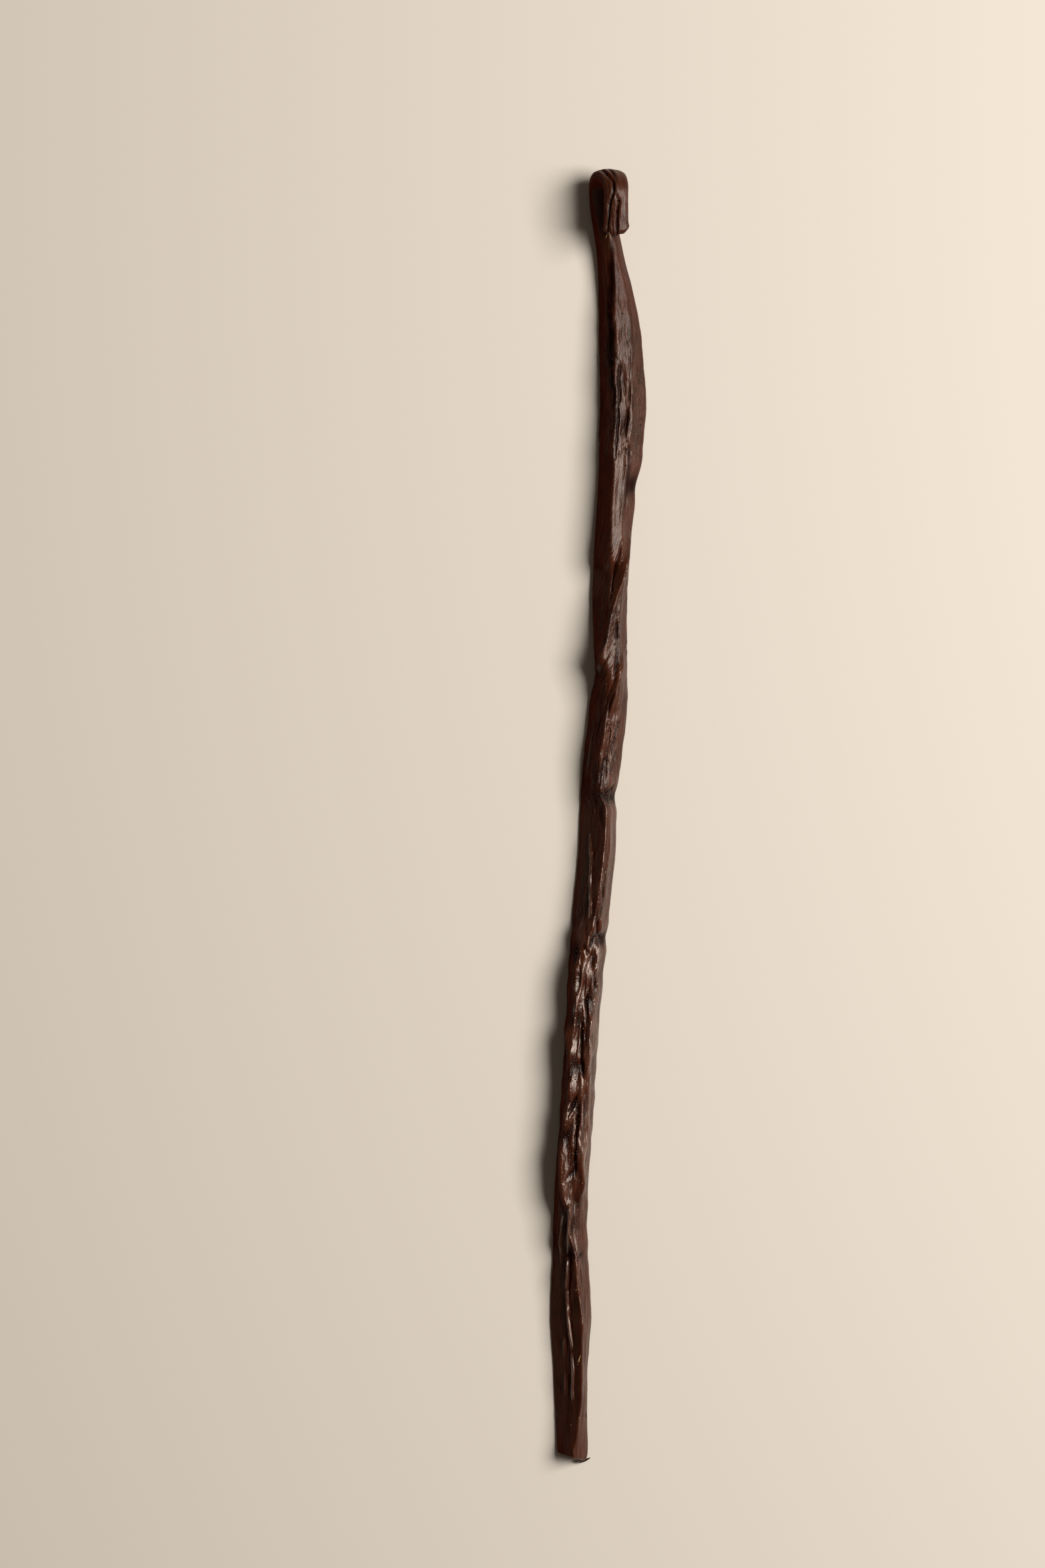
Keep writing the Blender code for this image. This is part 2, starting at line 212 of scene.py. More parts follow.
# wrinkles: how strong each kind is at each height up the pod, how wet the skin looks there, and
# how much it shines
skinWrinkles = {
    "zoneColumns": (
        "height", "folds", "lumps", "crinkles", "raisedLines", "wetness", "fineLines", "shine",
    ),
    "zones": (
        (0.00, 0.16, 0.25, 0.3, 0.6, 0.40, 0.30, 1.0),
        (0.10, 0.22, 0.30, 0.3, 1.0, 0.55, 0.34, 1.1),
        (0.17, 0.42, 0.60, 0.5, 1.1, 0.70, 0.5, 1.2),
        (0.22, 0.60, 0.90, 0.7, 0.8, 0.95, 0.8, 1.4),
        (0.28, 0.60, 1.10, 0.6, 0.6, 1.05, 0.8, 1.5),
        (0.34, 0.65, 1.20, 0.6, 0.4, 1.10, 0.8, 1.5),
        (0.40, 0.75, 1.25, 0.9, 0.5, 1.05, 0.9, 1.4),
        (0.43, 0.40, 0.50, 0.5, 0.9, 0.90, 0.8, 1.3),
        (0.49, 0.16, 0.30, 0.3, 0.7, 0.75, 0.4, 1.3),
        (0.52, 0.60, 0.55, 0.8, 0.6, 0.60, 0.9, 1.0),
        (0.58, 0.60, 0.40, 0.7, 0.6, 0.50, 0.9, 1.0),
        (0.61, 0.40, 0.12, 0.3, 0.9, 0.45, 0.9, 1.0),
        (0.66, 0.34, 0.10, 0.3, 0.9, 0.50, 0.9, 1.0),
        (0.70, 0.30, 0.12, 0.2, 0.7, 0.45, 0.9, 0.9),
        (0.725, 0.12, 0.14, 0.12, 0.4, 0.36, 0.7, 0.85),
        (0.765, 0.08, 0.18, 0.10, 0.3, 0.38, 0.6, 0.85),
        (0.785, 0.80, 0.45, 0.9, 0.4, 0.40, 1.0, 1.0),
        (0.85, 0.80, 0.45, 0.8, 0.4, 0.25, 1.0, 0.9),
        (0.90, 0.30, 0.30, 0.6, 0.5, 0.00, 0.7, 0.6),
        (0.95, 0.14, 0.22, 0.5, 0.3, 0.00, 0.6, 0.5),
        (0.99, 0.12, 0.45, 0.5, 0.0, 0.20, 0.8, 0.8),
        (1.06, 0.14, 0.50, 0.5, 0.0, 0.28, 0.8, 0.9),
    ),
    "broadFolds": {"round": 7, "length": 9, "height": 0.32, "sharp": 0.75, "seed": 3},
    "folds": {"round": 15, "length": 5.2, "height": 0.27, "sharp": 0.72, "seed": 12},
    "fineFolds": {"round": 31, "length": 2.8, "height": 0.14, "sharp": 0.75, "seed": 5},
    "raisedLines": {"round": 13, "length": 5.5, "height": 0.20, "sharp": 0.45, "seed": 21},
    "lumps": {"round": 6, "length": 2.6, "height": 0.28, "seed": 8},
    "crinkles": {"round": 28, "length": 0.85, "height": 0.085, "sharp": 0.8, "seed": 9},
    "meander": {"round": 5, "length": 4.0, "turn": 0.30, "seed": 4},
    "wander": {"round": 9, "length": 2.2, "reach": 0.16, "seed": 31},  # of creases, off their lines
    "foldLevel": 0.4,  # taken off every fold, so that folds neither swell nor shrink the pod
    "lineLevel": 0.5,
    "onSides": 0.4,  # share of the wrinkles that is left where the skin faces left or right
    "tipCalm": 0.6,  # share of the wrinkles that is lost on the way round the tip
    "stalkTopBlend": 0.8,  # over which creases of the upper side fade out towards the lower
    "bodyTopBlend": 0.6,
}

# shine: most where the skin faces up and to the right, towards the light, little on the side that faces left;
# where it is low, the colour also gets a painted shade tint
skinShine = {
    "towards": (0.66, 0.75),  # the way to the light, sideways and up
    "wrap": 0.15,
    "softness": 0.6,
    "least": 0.03,
    "steepDry": 0.35,  # share that is left on a steep face, and how much more of it a wet one keeps
    "steepWet": 0.45,
    "levelling": 1.3,
    "onRaisedLines": 1.5,
    "raisedLineHeight": 0.16,  # a line this high shines fully
    "inGrooves": 0.25,
    "grooveDepth": 0.32,  # a groove this deep is fully dull
}

# edges between the faces: height up the pod, place across as seen from above (-1 left edge,
# 1 right edge), and how far the edge stands out
podEdges = {
    "upperTop": (
        (0.650, -0.30, 0.0), (0.662, -0.30, 0.25), (0.672, -0.19, 0.50), (0.693, -0.04, 0.55),
        (0.7135, -0.08, 0.60), (0.730, -0.17, 0.60), (0.760, -0.22, 0.60), (0.781, -0.29, 0.60),
        (0.8115, -0.285, 0.60), (0.8425, -0.35, 0.60), (0.873, -0.27, 0.60), (0.889, -0.24, 0.60),
        (0.910, -0.10, 0.50), (0.930, 0.12, 0.40), (1.0, 0.12, 0.40),
    ),
    "crossing": (
        (0.600, -1.08, 0.0), (0.611, -1.08, 0.30), (0.6205, -0.75, 0.50), (0.638, -0.22, 0.60),
        (0.657, 0.06, 0.60), (0.676, 0.375, 0.60), (0.696, 0.77, 0.55), (0.712, 1.05, 0.40),
        (0.725, 1.08, 0.0),
    ),
    "shortMiddle": (
        (0.574, -0.20, 0.0), (0.584, -0.24, 0.22), (0.600, -0.32, 0.30), (0.615, -0.36, 0.28),
        (0.626, -0.36, 0.0),
    ),
    "lowerTop": (
        (0.000, 0.00, 0.45), (0.011, 0.05, 0.50), (0.022, 0.28, 0.55), (0.032, 0.36, 0.60),
        (0.053, 0.60, 0.60), (0.073, 0.62, 0.60), (0.094, 0.55, 0.60), (0.115, 0.50, 0.60),
        (0.130, 0.39, 0.60), (0.146, 0.29, 0.60), (0.161, 0.27, 0.60), (0.177, 0.00, 0.55),
        (0.192, 0.00, 0.50), (0.208, -0.50, 0.60), (0.244, -0.75, 0.75), (0.275, -0.50, 0.75),
        (0.316, -0.62, 0.75), (0.331, -0.80, 0.75), (0.352, -0.42, 0.70), (0.373, -0.58, 0.75),
        (0.393, -0.39, 0.65), (0.406, 0.05, 0.50), (0.424, 0.18, 0.60), (0.440, 0.22, 0.60),
        (0.455, 0.26, 0.60), (0.476, 0.31, 0.60), (0.4915, 0.34, 0.60), (0.507, 0.34, 0.60),
        (0.5173, 0.10, 0.45), (0.533, -0.08, 0.60), (0.548, -0.14, 0.60), (0.564, -0.08, 0.60),
        (0.579, 0.00, 0.60), (0.5844, 0.12, 0.60), (0.595, 0.30, 0.50), (0.613, 0.70, 0.40),
        (0.630, 1.08, 0.0),
    ),
    "upperSide": (
        (0.618, 0.70, 0.0), (0.632, 0.62, 0.32), (0.660, 0.62, 0.38), (0.695, 0.58, 0.34),
        (0.730, 0.48, 0.34), (0.760, 0.46, 0.34), (0.790, 0.52, 0.30), (0.850, 0.55, 0.30),
        (0.890, 0.62, 0.25), (0.930, 0.60, 0.20), (1.0, 0.60, 0.15),
    ),
    "middleSide": (
        (0.41, 0.60, 0.0), (0.43, 0.62, 0.22), (0.50, 0.75, 0.16), (0.53, 0.60, 0.26),
        (0.58, 0.60, 0.24), (0.605, 0.65, 0.0),
    ),
    "lowerSide": (
        (0.19, 0.80, 0.0), (0.213, 0.78, 0.30), (0.223, 0.70, 0.35), (0.244, 0.40, 0.35),
        (0.29, 0.50, 0.40), (0.32, 0.48, 0.60), (0.345, 0.50, 0.55), (0.36, 0.46, 0.40),
        (0.395, 0.60, 0.30), (0.41, 0.75, 0.0),
    ),
}

# where the faces are flat: height, how flat (0 swollen, 1 flat), and the corners of a flat-faced
# ring, with the top corner left out because it follows the edges above
flatFaces = {
    "share": (
        (0.000, 0.3), (0.022, 0.9), (0.040, 1.0), (0.180, 1.0), (0.205, 0.3), (0.225, 0.0),
        (0.410, 0.0), (0.425, 1.0), (0.505, 1.0), (0.520, 0.7), (0.590, 0.7), (0.606, 0.0),
        (0.622, 0.0), (0.640, 0.8), (0.685, 0.8), (0.702, 0.0), (0.712, 0.0), (0.728, 0.8),
        (0.840, 0.6), (0.880, 0.1), (0.940, 0.0), (1.0, 0.0),
    ),
    "topCorner": (1.38, 1.34),  # how far it moves sideways with its edge, and how high it stands
    "handOver": (0.607, 0.707),  # heights where the top corner goes from one edge to the next
    "corners": ((-1.38, -0.78), (-0.75, -1.05), (0.80, -1.05), (1.38, -0.50)),
    "sharpness": 8,
}

# edges the pod lies on: direction they face in degrees, and how far they stand out
podFeet = ((214, 0.62), (330, 0.60))

# creases seen from above: height and place across (-1 left edge, 1 right edge) of both ends,
# depth and half width
podCreases = (
    (0.944, 0.18, 0.925, -0.10, 0.20, 0.45),
    (0.925, -0.10, 0.907, -0.38, 0.26, 0.60),
    (0.907, -0.38, 0.886, -0.54, 0.26, 0.52),
    (0.886, -0.54, 0.850, -0.52, 0.30, 0.36),
    (0.850, -0.50, 0.818, -0.42, 0.24, 0.26),
    (0.848, -0.15, 0.820, -0.24, 0.30, 0.20),
    (0.820, -0.24, 0.777, -0.25, 0.26, 0.17),
    (0.843, 0.36, 0.815, 0.22, 0.16, 0.14),
    (0.815, 0.22, 0.790, 0.15, 0.18, 0.14),
    (0.848, 0.70, 0.817, 0.84, 0.22, 0.18),
    (0.776, -0.26, 0.787, 0.34, 0.20, 0.13),
    (0.786, 0.36, 0.757, 0.53, 0.26, 0.17),
    (0.757, 0.53, 0.729, 0.50, 0.20, 0.15),
    (0.713, 0.50, 0.684, 0.12, 0.26, 0.17),
    (0.684, 0.12, 0.667, 0.02, 0.18, 0.14),
    (0.650, 0.40, 0.630, 0.40, 0.22, 0.20),
    (0.630, 0.40, 0.602, 0.18, 0.24, 0.20),
    (0.595, 0.16, 0.570, -0.02, 0.26, 0.17),
    (0.575, 0.63, 0.550, 0.35, 0.28, 0.17),
    (0.551, 0.62, 0.533, 0.56, 0.20, 0.15),
    (0.545, 0.10, 0.524, -0.08, 0.22, 0.16),
    (0.517, 0.00, 0.519, 0.50, 0.30, 0.20),
    (0.519, 0.50, 0.529, 1.00, 0.34, 0.20),
    (0.508, 0.12, 0.492, 0.30, 0.22, 0.22),
    (0.470, -0.30, 0.440, -0.15, 0.20, 0.20),
    (0.460, 0.55, 0.424, 0.56, 0.22, 0.17),
    (0.421, 0.44, 0.411, 0.46, 0.30, 0.17),
    (0.411, 0.46, 0.404, 1.00, 0.36, 0.18),
    (0.401, -0.25, 0.396, 0.02, 0.34, 0.18),
    (0.396, 0.02, 0.411, 0.30, 0.30, 0.17),
    (0.380, 0.45, 0.362, 0.70, 0.46, 0.22),
    (0.362, 0.16, 0.342, 0.22, 0.34, 0.16),
    (0.342, -0.15, 0.346, 0.55, 0.14, 0.10),
    (0.342, -0.05, 0.318, 0.02, 0.34, 0.17),
    (0.318, 0.02, 0.300, 0.20, 0.28, 0.15),
    (0.285, -0.10, 0.271, -0.55, 0.44, 0.20),
    (0.270, 0.10, 0.242, 0.05, 0.38, 0.17),
    (0.242, 0.05, 0.226, 0.20, 0.40, 0.18),
    (0.228, 0.15, 0.223, -0.30, 0.34, 0.16),
    (0.158, 0.25, 0.163, 0.65, 0.22, 0.14),
)

# raised lines seen from above: height and place across of both ends, rise and half width
podRidges = (
    (0.345, 0.50, 0.325, 0.44, 0.34, 0.34),
    (0.325, 0.44, 0.303, 0.50, 0.34, 0.30),
    (0.301, 0.10, 0.262, 0.35, 0.20, 0.22),
    (0.300, 0.62, 0.262, 0.70, 0.26, 0.20),
    (0.262, 0.70, 0.236, 0.62, 0.24, 0.18),
    (0.372, 0.70, 0.350, 0.66, 0.26, 0.20),
    (0.249, 0.42, 0.213, 0.74, 0.24, 0.24),
    (0.393, -0.08, 0.352, -0.45, 0.26, 0.26),
    (0.402, 0.56, 0.384, 0.55, 0.26, 0.30),
    (0.392, 0.10, 0.362, 0.05, 0.20, 0.20),
    (0.352, -0.45, 0.318, -0.55, 0.20, 0.24),
    (0.486, -0.42, 0.472, -0.36, 0.30, 0.15),
    (0.473, -0.30, 0.450, -0.22, 0.36, 0.16),
    (0.455, -0.26, 0.424, -0.04, 0.38, 0.17),
    (0.455, -0.80, 0.424, -0.70, 0.32, 0.16),
    (0.473, -0.64, 0.450, -0.78, 0.30, 0.15),
    (0.500, -0.55, 0.486, -0.60, 0.26, 0.14),
    (0.566, -0.78, 0.533, -0.76, 0.28, 0.14),
    (0.192, -0.45, 0.155, -0.60, 0.36, 0.17),
    (0.200, -0.10, 0.165, -0.15, 0.36, 0.18),
    (0.160, -0.14, 0.138, -0.22, 0.34, 0.16),
    (0.145, -0.66, 0.114, -0.55, 0.34, 0.15),
    (0.135, -0.20, 0.108, -0.12, 0.36, 0.16),
    (0.108, -0.12, 0.090, 0.05, 0.34, 0.15),
    (0.104, -0.70, 0.075, -0.62, 0.32, 0.15),
    (0.098, -0.34, 0.084, -0.36, 0.30, 0.14),
    (0.086, 0.08, 0.052, 0.10, 0.34, 0.15),
    (0.070, -0.30, 0.055, -0.32, 0.28, 0.13),
    (0.575, 0.30, 0.545, 0.25, 0.16, 0.15),
    (0.618, 0.10, 0.598, -0.10, 0.14, 0.14),
)

# grooves on the folded stalk: distance from the cut end and place across of both ends, depth
# and half width
stalkGrooves = (
    (0.3, -0.66, 1.4, -0.71, 0.20, 0.16),
    (1.4, -0.71, 3.9, -0.54, 0.24, 0.17),
    (3.9, -0.54, 5.5, -0.21, 0.24, 0.17),
    (5.5, -0.21, 6.1, -0.15, 0.30, 0.18),
    (6.1, -0.15, 6.9, -0.49, 0.30, 0.18),
    (6.9, -0.49, 7.9, -0.60, 0.24, 0.18),
    (0.2, 0.10, 2.8, 0.07, 0.26, 0.17),
    (2.8, 0.07, 4.1, 0.23, 0.28, 0.16),
    (4.1, 0.23, 4.7, -0.05, 0.26, 0.16),
    (4.1, 0.23, 4.5, 0.60, 0.22, 0.15),
    (6.4, 0.07, 7.8, -0.10, 0.26, 0.16),
)

# every groove has low banks beside it and is shallower at its ends
grooveShape = {"bankHeight": 0.10, "bankDistance": 2.4, "endDepth": 0.6}


def readTable(rows, column, height):
    # one column of a table at any height, which is the table's first column
    table = np.array(rows)
    return flow(table[:, 0], table[:, column], height)


def stationAt(height, column):
    # the stations read at any height: 1 is sideways, 2 is width and 3 is thickness
    return readTable(podShape["stations"], column, height)


def zoneStrength(height, name):
    # the zones read at any height
    return readTable(skinWrinkles["zones"], skinWrinkles["zoneColumns"].index(name), height)


def edgeTrack(name, height):
    # where an edge stands as seen from above, and how far it stands out
    return readTable(podEdges[name], 1, height), readTable(podEdges[name], 2, height)


def neckHeight():
    # height at which the fold's centre stands: the fold's outer side is the pod's top end
    thick = stationAt(1.0, 3) * podShape["thickness"]
    return 1 - (podShape["foldRadius"] + thick * (1 - podShape["foldFlattening"]) / 2) / podLength


def podRows():
    # how far along the centreline each ring stands, from the cut end: even steps down to the tip,
    # then steps of a quarter turn's sine round it, stopping just short of the point
    shape = podShape
    neck = neckHeight()
    stalkLength = shape["stubLength"] + np.pi * shape["foldRadius"]
    bodyLength = neck * podLength - shape["tipRounding"]
    tipRows = shape["tipRows"]
    along = np.linspace(0, stalkLength + bodyLength, shape["rows"] - tipRows)
    tipTurn = np.arange(1, tipRows + 1) / (tipRows + 0.3)
    tipReach = shape["tipRounding"] * np.sin(0.5 * np.pi * tipTurn)
    return np.concatenate((along, along[-1] + tipReach))[:, None], stalkLength, neck


def flatRadius(facing, top):
    # a rounded polygon: over its faces, the sum of (cosine of the angle off the face / the face's
    # distance) to a power, and that sum to minus one over the power
    power = flatFaces["sharpness"]
    sideways, peak = flatFaces["topCorner"]
    corners = [(sideways * top, peak), *flatFaces["corners"]]
    total = 0
    for (ax, ay), (bx, by) in zip(corners, corners[1:] + corners[:1]):
        outX, outY = by - ay, ax - bx
        distance = (ax * outX + ay * outY) / np.hypot(outX, outY)
        total = total + (np.clip(np.cos(facing - np.arctan2(outY, outX)), 0, 1) / distance) ** power
    return total ** (-1 / power)


def edgeRadius(facing, height):
    # swollen ring: a circle plus, for every edge, standing out * exp(-angle from it / its reach);
    # flat ring: the rounded polygon plus the side edges; the share blends the two
    shape = podShape
    rounding, reach = np.radians(shape["edgeRounding"]), np.radians(shape["edgeReach"])
    belowFold = ease((neckHeight() - height) / shape["stalkBlend"])
    inBody = shape["stalkEdges"] + (1 - shape["stalkEdges"]) * belowFold

    def standing(direction, stands):
        # standing out * exp(-angle / reach), with the angle's corner at 0 rounded
        off = np.hypot(offAngle(facing, direction), rounding) - rounding
        return stands * inBody * np.exp(-off / reach)

    def edge(name):
        # an edge on the upper side: its direction is the arccosine of its place across
        across, stands = edgeTrack(name, height)
        return standing(np.arccos(np.clip(shape["edgeInset"] * across, -1, 1)), stands)

    feet = sum(standing(np.radians(direction), stands) for direction, stands in podFeet)
    sides = edge("upperSide") + edge("middleSide") + edge("lowerSide") + edge("shortMiddle")
    swollen = 1 + feet + sides + edge("upperTop") + edge("crossing") + edge("lowerTop")

    lower, middle, upper = (edgeTrack(name, height)[0] for name in ("lowerTop", "crossing", "upperTop"))
    first, second = flatFaces["handOver"]
    top = np.where(height < first, lower, np.where(height < second, middle, upper))
    flat = flatRadius(facing, top) + sides
    share = readTable(flatFaces["share"], 1, height)
    return swollen * (1 - share) + flat * share


def podOutline(turn, height, wide, thick):
    # each ring is scaled to its width and height; its points turn with the wrung skin
    angles = np.linspace(0, 2 * np.pi, podShape["columns"], endpoint=False)
    facing = angles + turn
    radius = edgeRadius(facing, height)
    across, up = radius * np.cos(facing), radius * np.sin(facing)

    def fitted(values, size):
        # moved to the middle and scaled so that its span is the size
        high, low = values.max(1, keepdims=True), values.min(1, keepdims=True)
        return (values - (high + low) / 2) * size / (high - low)

    return angles, facing, fitted(across, wide), fitted(up, thick)


def ringSizes(along, share, turn, bodyHeight):
    # the stub's width and thickness blend into the body's by the share of the stalk passed; then
    # flared at the rim by exp(-square), rounded at the cut, and squashed by the sine of the fold
    shape = podShape
    squash = shape["foldFlattening"] * np.sin(turn)
    rim = 1 + shape["rimFlare"] * np.exp(-((along / shape["rimLength"]) ** 2))
    rim = rim - shape["cutInset"] * np.clip(1 - along / shape["cutRounding"], 0, 1) ** 2
    bodyWide = stationAt(bodyHeight, 2) * shape["width"]
    bodyThick = stationAt(bodyHeight, 3) * shape["thickness"]
    wide = shape["stubWidth"] * shape["width"] * (1 - share) + bodyWide * share
    thick = shape["stubThickness"] * shape["thickness"] * (1 - share) + bodyThick * share
    return wide * rim * (1 + squash), thick * rim * (1 - squash)


def wrinkleRelief(along, angles, height):
    # folds and crinkles: |noise| to a power less its level, so a valley where the noise is 0;
    # raised lines: the level less |noise| to a power; lumps: the noise itself
    wrinkles = skinWrinkles
    around = np.broadcast_to(angles, (along.shape[0], angles.size))
    alongGrid = np.broadcast_to(along, around.shape)

    def field(name, sway=0):
        # one kind's settings and its noise
        f = wrinkles[name]
        return f, skinNoise(alongGrid, around + sway, f["round"], f["length"], f["seed"])

    drift, sway = field("meander")
    sway = drift["turn"] * sway
    level = wrinkles["foldLevel"]
    relief = 0
    for name in ("broadFolds", "folds", "fineFolds"):
        f, n = field(name, sway)
        relief = relief + f["height"] * zoneStrength(height, "folds") * (np.abs(n) ** f["sharp"] - level)
    f, n = field("lumps", sway)
    relief = relief + f["height"] * zoneStrength(height, "lumps") * n
    f, n = field("crinkles")
    relief = relief + f["height"] * zoneStrength(height, "crinkles") * (np.abs(n) ** f["sharp"] - level)
    f, n = field("raisedLines", sway)
    lines = wrinkles["lineLevel"] - np.abs(n) ** f["sharp"]
    return relief + f["height"] * zoneStrength(height, "raisedLines") * lines


def knuckleDents(facing, height):
    # a dent of exp(-square) along and around, less a swelling of the same kind two reaches away
    shape = podShape
    dents = 0
    for place, direction, depth, reach in shape["knuckles"]:
        t = (height - place) * podLength / reach
        dent = np.exp(-(t**2)) - shape["knuckleSwelling"] * np.exp(-((np.abs(t) - 2) ** 2))
        off = offAngle(facing, np.radians(direction)) / np.radians(shape["knuckleSpread"])
        dents = dents + depth * dent * np.exp(-(off**2))
    return dents


def grooveDents(x, y, grooves, scaleX, scaleY):
    # depth * exp(-square of the distance from the straight line between two places), less the
    # same for its banks, and fading towards its ends by the sine of the way along
    bank, bankAway, least = (grooveShape[k] for k in ("bankHeight", "bankDistance", "endDepth"))
    dents = 0
    for y0, x0, y1, x1, depth, reach in grooves:
        ax, ay = x0 * scaleX, y0 * scaleY
        bx, by = x1 * scaleX, y1 * scaleY
        dx, dy = bx - ax, by - ay
        t = np.clip(((x - ax) * dx + (y - ay) * dy) / (dx * dx + dy * dy), 0, 1)
        away = np.hypot(x - ax - t * dx, y - ay - t * dy)
        groove = np.exp(-((away / reach) ** 2)) - bank * np.exp(-(((away - bankAway * reach) / reach) ** 2))
        dents = dents + depth * groove * (least + (1 - least) * np.sin(np.pi * t))
    return dents


def surfaceRelief(along, angles, facing, height, across, up, wide, onStalk):
    # wrinkles, weaker on the sides by the square of the sine, plus raised lines, less knuckles,
    # creases and stalk grooves; placed lines show on the upper side only and wander off the straight
    wrinkles, drift = skinWrinkles, skinWrinkles["wander"]
    wander = skinNoise(along + 0 * angles, angles + 0 * along, drift["round"], drift["length"], drift["seed"])
    wander = drift["reach"] * wander
    stalkTop, bodyTop = ease(0.5 - up / wrinkles["stalkTopBlend"]), ease(0.5 + up / wrinkles["bodyTopBlend"])
    topSide = np.where(onStalk, stalkTop, bodyTop)
    place, half = height * podLength, wide / 2
    creases = grooveDents(across + wander, place, podCreases, half, podLength)
    ridges = grooveDents(across + 0.5 * wander, place, podRidges, half, podLength)
    stalkLines = grooveDents(across + 0.5 * wander, along, stalkGrooves, half, 1)
    dents = knuckleDents(facing, height) + np.where(onStalk, stalkLines, creases - ridges) * topSide
    fromSides = wrinkles["onSides"] + (1 - wrinkles["onSides"]) * np.sin(facing) ** 2
    raised = ease(ridges / skinShine["raisedLineHeight"]) * topSide
    return wrinkleRelief(along, angles, height) * fromSides - dents, raised


def skinFields(height, across, up, pitch, relief, raised):
    # shine: the ring's outward direction times the way to the light, eased, times the zone's; more
    # on raised lines, less in grooves; wetness: the zone's or a raised line's, whichever is more
    look = skinShine
    runX = np.roll(across, -1, 1) - np.roll(across, 1, 1)
    runZ = np.roll(up, -1, 1) - np.roll(up, 1, 1)
    outX = runZ / np.hypot(runX, runZ)
    outZ = runX / np.hypot(runX, runZ) * np.cos(pitch)
    sideways, upwards = look["towards"]
    toLight = ease((sideways * outX + upwards * outZ + look["wrap"]) / look["softness"])
    steep = look["steepDry"] + look["steepWet"] * zoneStrength(height, "wetness")
    level = steep + (1 - steep) * ease(outZ * look["levelling"])
    shine = look["least"] + (1 - look["least"]) * toLight * level
    shine = zoneStrength(height, "shine") * np.maximum(shine, look["onRaisedLines"] * raised)
    shine = shine * (look["inGrooves"] + (1 - look["inGrooves"]) * ease(1 + relief / look["grooveDepth"]))
    wetness = np.maximum(zoneStrength(height, "wetness"), raised)
    return {"wetness": wetness, "shine": shine, "fineLines": zoneStrength(height, "fineLines") + 0 * across}


def podSurface():
    # every ring's outline plus its relief, set square to the centreline: straight along the stub,
    # round the fold by sine and cosine, then down the body; returns millimetres
    shape = podShape
    along, stalkLength, neck = podRows()
    stub, radius = shape["stubLength"], shape["foldRadius"]
    onStalk = along < stalkLength
    height = neck + (stalkLength - along) / podLength
    bodyHeight = np.minimum(height, neck)
    share = np.clip(along / stalkLength, 0, 1)
    toFold = np.clip(stub - along, 0, None)
    turn = np.clip((along - stub) / radius, 0, np.pi)
    pitch = np.where(onStalk, turn - 2 * shape["stubDroop"] * toFold / stub**2, np.pi)

    wide, thick = ringSizes(along, share, turn, bodyHeight)
    wrung = np.radians(readTable(shape["wrung"], 1, height))
    angles, facing, across, up = podOutline(wrung, height, wide, thick)

    # the belly arches between its rests, and each ring stands on its own lower side
    nearest = np.abs(bodyHeight - np.array(shape["bellyRests"])).min(1, keepdims=True)
    arch = shape["bellyArch"] * ease((nearest - shape["restReach"]) / shape["archReach"])
    lift = arch - shape["bellyPress"] - up.min(1, keepdims=True)
    neckLift = lift[~onStalk[:, 0]][0]

    relief, raised = surfaceRelief(along, angles, facing, height, across, up, wide, onStalk)
    intoTip = np.clip(1 - height * podLength / shape["tipRounding"], 0, 1)
    relief = relief * (1 - skinWrinkles["tipCalm"] * intoTip)
    across = across + relief * np.cos(facing)
    up = up + relief * np.sin(facing)

    lean = ease((share - shape["leanStart"]) / shape["leanStretch"])
    side = stationAt(bodyHeight, 1) * shape["width"]
    side = shape["stubSide"] * shape["width"] * (1 - lean) + side * lean
    droop = shape["stubDroop"] * (toFold / stub) ** 2
    stalkY = neck * podLength - toFold + radius * np.sin(turn)
    stalkZ = neckLift + radius * (1 + np.cos(turn)) - droop

    torn = shape["ragged"]
    place = across / (wide / 2)
    ragged = torn["right"] * np.clip(place, 0, 1.2) ** 4 + torn["left"] * np.clip(-place, 0, 1.2) ** 4
    ragged = ragged + torn["wave"] * np.sin(torn["waves"] * angles + 1)
    stalkY = stalkY + ragged * np.clip(1 - along / torn["reach"], 0, 1) ** 2

    # the tip closes as a superellipse and slants away from its right side
    size = (1 - intoTip ** shape["tipFullness"]) ** (1 / shape["tipFullness"])
    fromRight = across.max(1, keepdims=True) - across * size
    slant = shape["tipSlant"] * intoTip**3 * fromRight
    x = side + across * size
    y = np.where(onStalk, stalkY - up * np.sin(pitch), height * podLength + slant)
    z = np.where(onStalk, stalkZ - up * np.cos(pitch), lift + up * size)
    points = np.stack((x, y, np.maximum(z, 0)), -1)
    flat = points.reshape(-1, 3)
    middle = (flat.max(0) + flat.min(0)) / 2
    podMiddle = (podHigh + podLow) / 2
    points[..., :2] += podMiddle[:2] - middle[:2]
    return points, along, angles, height, relief, skinFields(height, across, up, pitch, relief, raised)


# skin material

